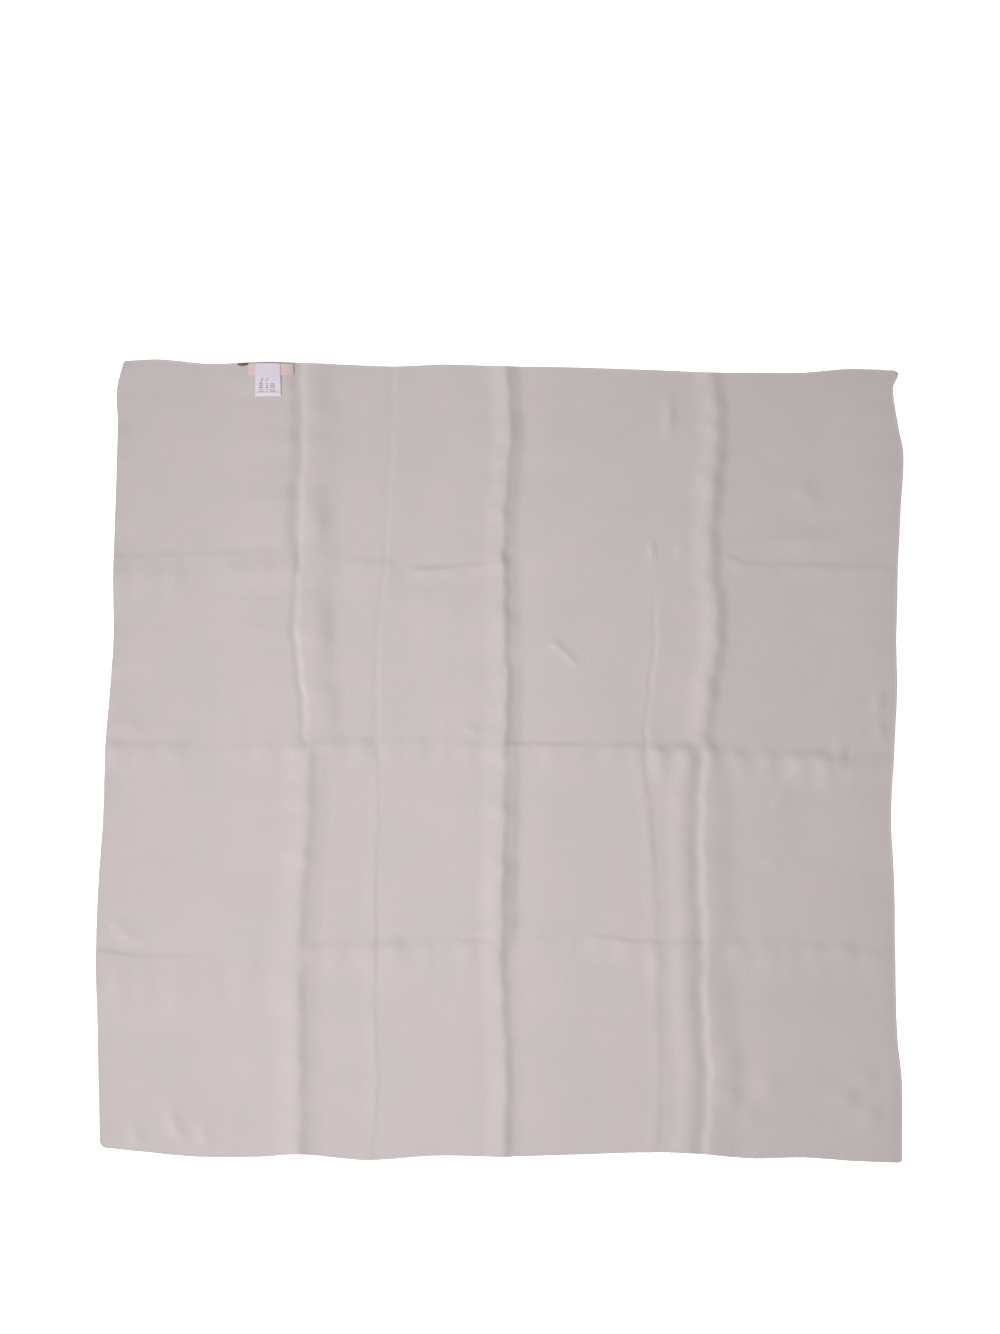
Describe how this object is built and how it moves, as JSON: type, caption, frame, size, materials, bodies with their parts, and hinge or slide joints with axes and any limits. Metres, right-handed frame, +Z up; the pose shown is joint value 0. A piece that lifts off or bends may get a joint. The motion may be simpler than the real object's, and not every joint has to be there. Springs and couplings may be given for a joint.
{
  "type": "silk square scarf",
  "caption": "Plain square silk scarf with narrow rolled hems and sewn-in labels, opened out flat with its press folds showing.",
  "frame": {"origin": "on the table, under the middle of the cloth's box", "axes": "+Z up off the table, +Y towards the labelled edge, +X to the right as seen from above"},
  "size_m": [0.9198, 0.9158, 0.0058],
  "materials": {
    "silk": "plain light silk with a soft low sheen, very pale warm grey",
    "hem_silk": "the same silk, rolled into a narrow hem",
    "woven_tape": "matt woven tape, pale peach, bare",
    "label_satin": "thin printed satin, pale lilac white"
  },
  "bodies": {
    "root": {"silk_panel": "silk", "hem_top": "hem_silk", "hem_right": "hem_silk", "hem_bottom": "hem_silk", "hem_left": "hem_silk", "label_tape": "woven_tape", "care_label": "label_satin"}
  },
  "joints": []
}
